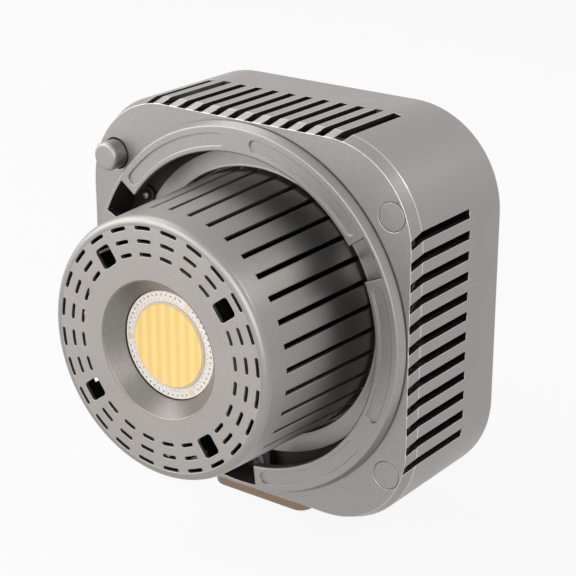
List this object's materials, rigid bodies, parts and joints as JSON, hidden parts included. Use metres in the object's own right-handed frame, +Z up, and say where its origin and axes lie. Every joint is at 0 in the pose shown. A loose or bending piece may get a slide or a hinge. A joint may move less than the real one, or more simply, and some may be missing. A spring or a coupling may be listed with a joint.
{
  "type": "led video light head",
  "caption": "Square-bodied LED video light head with a round slotted nose, a three-lug accessory ring, side cooling slots, a fan and rear controls.",
  "frame": {"origin": "Centre of the bounding box in plan, on the plane that the foot stands on.", "axes": "+Z is up. The light shines along -Y. +X is on the right when the light is seen from its front."},
  "size_m": [0.13, 0.1022, 0.136],
  "materials": {
    "body_paint": "satin",
    "ring_paint": "satin",
    "control_paint": "satin",
    "black_anodised": "satin",
    "copper_winding": "satin",
    "bronze_anodised": "satin",
    "brass": "polished",
    "led_substrate": "matte",
    "led_phosphor": "satin",
    "circuit_board": "satin",
    "display_glass": "gloss",
    "display_dark": "satin",
    "steel": "satin",
    "dark_moulding": "satin",
    "black_moulding": "matte"
  },
  "bodies": {
    "head": {"brightness_encoder": "black_moulding", "capacitor_1": "black_moulding", "capacitor_2": "black_moulding", "case_screw_1": "steel", "case_screw_2": "steel", "case_screw_3": "steel", "channel_floor": "dark_moulding", "colour_encoder": "black_moulding", "control_board": "circuit_board", "cooler": "black_anodised", "dc_inlet": "dark_moulding", "display_panel": "display_dark", "display_window": "display_glass", "driver_board": "circuit_board", "driver_chip": "black_moulding", "driver_cooling_plate": "black_anodised", "driver_screw_1": "steel", "driver_screw_2": "steel", "fan_frame": "black_moulding", "fan_motor": "copper_winding", "fan_screw_1": "steel", "fan_screw_2": "steel", "fan_screw_3": "steel", "fan_screw_4": "steel", "foot_insert": "brass", "foot_plate": "bronze_anodised", "foot_screw_1": "steel", "foot_screw_2": "steel", "front_cap": "body_paint", "heat_spreader": "black_anodised", "inductor": "copper_winding", "inlet_pin_1": "brass", "inlet_pin_2": "brass", "inlet_pin_3": "brass", "inner_shroud": "ring_paint", "led_board": "led_substrate", "led_holder": "black_moulding", "led_phosphor": "led_phosphor", "main_housing": "body_paint", "mount_ring": "ring_paint", "nose_barrel": "body_paint", "power_frame": "black_moulding", "rear_cover": "body_paint", "release_spring": "steel", "ring_screw_1": "steel", "ring_screw_2": "steel", "screw_cap_1": "body_paint", "screw_cap_2": "body_paint", "screw_cap_3": "body_paint"},
    "fan_rotor_body": {"fan_rotor": "black_moulding"},
    "release_body": {"release_button": "ring_paint", "release_lever": "steel", "lock_pin": "steel"},
    "brightness_body": {"brightness_dial": "control_paint", "brightness_shaft": "steel"},
    "colour_body": {"colour_dial": "control_paint", "colour_shaft": "steel"},
    "mode_key_body": {"mode_button": "control_paint"},
    "menu_key_body": {"menu_button": "control_paint"},
    "power_rocker_body": {"power_rocker": "black_moulding"}
  },
  "joints": [
    {"name": "fan_spin", "type": "hinge", "parent": "head", "child": "fan_rotor_body", "pos_m": [0, 0.014, 0.071], "axis": [0, 1, 0], "continuous": true},
    {"name": "release_press", "type": "slide", "parent": "head", "child": "release_body", "axis": [0, 1, 0], "range_m": [0, 0.003], "stiffness_N_per_m": 400, "springref_m": -0.002, "deforming": ["release_spring"]},
    {"name": "brightness_turn", "type": "hinge", "parent": "head", "child": "brightness_body", "pos_m": [-0.039, 0.04662, 0.1113], "axis": [0, 1, 0], "continuous": true},
    {"name": "colour_turn", "type": "hinge", "parent": "head", "child": "colour_body", "pos_m": [-0.039, 0.04662, 0.0879], "axis": [0, 1, 0], "continuous": true},
    {"name": "mode_press", "type": "slide", "parent": "head", "child": "mode_key_body", "axis": [0, -1, 0], "range_m": [0, 0.0008], "stiffness_N_per_m": 600, "springref_m": -0.0008},
    {"name": "menu_press", "type": "slide", "parent": "head", "child": "menu_key_body", "axis": [0, -1, 0], "range_m": [0, 0.0008], "stiffness_N_per_m": 600, "springref_m": -0.0008},
    {"name": "power_tip", "type": "hinge", "parent": "head", "child": "power_rocker_body", "pos_m": [0.0273, 0.04063, 0.0333], "axis": [1, 0, 0], "range_deg": [-14, 0]}
  ]
}
